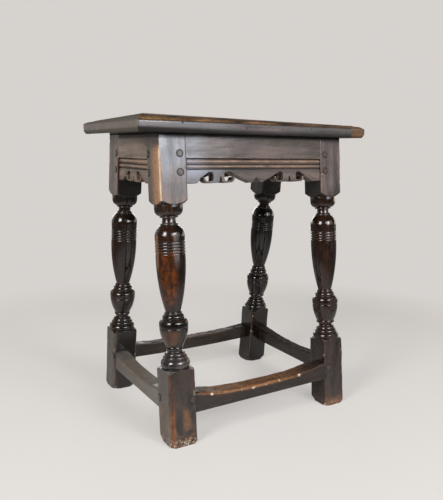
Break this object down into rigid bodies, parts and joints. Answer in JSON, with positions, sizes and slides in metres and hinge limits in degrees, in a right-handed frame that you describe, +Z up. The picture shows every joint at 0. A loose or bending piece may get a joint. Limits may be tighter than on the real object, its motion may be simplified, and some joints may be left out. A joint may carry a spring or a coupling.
{
  "type": "joint stool",
  "caption": "Oak joint stool: rectangular moulded seat on splayed turned baluster legs, scroll-cut moulded friezes and low worn stretchers, all mortised, tenoned and pegged",
  "frame": {"origin": "on the floor, under the middle of the seat", "axes": "+X along the length of the seat to the right, -Y the front long side, +Z up; the legs lean in toward the seat from front and back only"},
  "size_m": [0.476, 0.33, 0.5544],
  "materials": {
    "seat_oak": "dark waxed oak, worn at the moulded edge",
    "leg_oak": "dark waxed oak, glossy turnings",
    "rail_oak": "dark waxed oak, worn bare along the stretcher tops",
    "peg_oak": "dark waxed oak end grain"
  },
  "bodies": {
    "root": {"seat_top": "seat_oak", "leg_front_left": "leg_oak", "leg_front_right": "leg_oak", "leg_back_left": "leg_oak", "leg_back_right": "leg_oak", "frieze_front": "rail_oak", "frieze_back": "rail_oak", "frieze_left": "rail_oak", "frieze_right": "rail_oak", "stretcher_front": "rail_oak", "stretcher_back": "rail_oak", "stretcher_left": "rail_oak", "stretcher_right": "rail_oak", "seat_pegs": "peg_oak", "frieze_pegs_front": "peg_oak", "frieze_pegs_back": "peg_oak", "frieze_pegs_left": "peg_oak", "frieze_pegs_right": "peg_oak", "stretcher_pegs_front": "peg_oak", "stretcher_pegs_back": "peg_oak", "stretcher_pegs_left": "peg_oak", "stretcher_pegs_right": "peg_oak"}
  },
  "joints": []
}
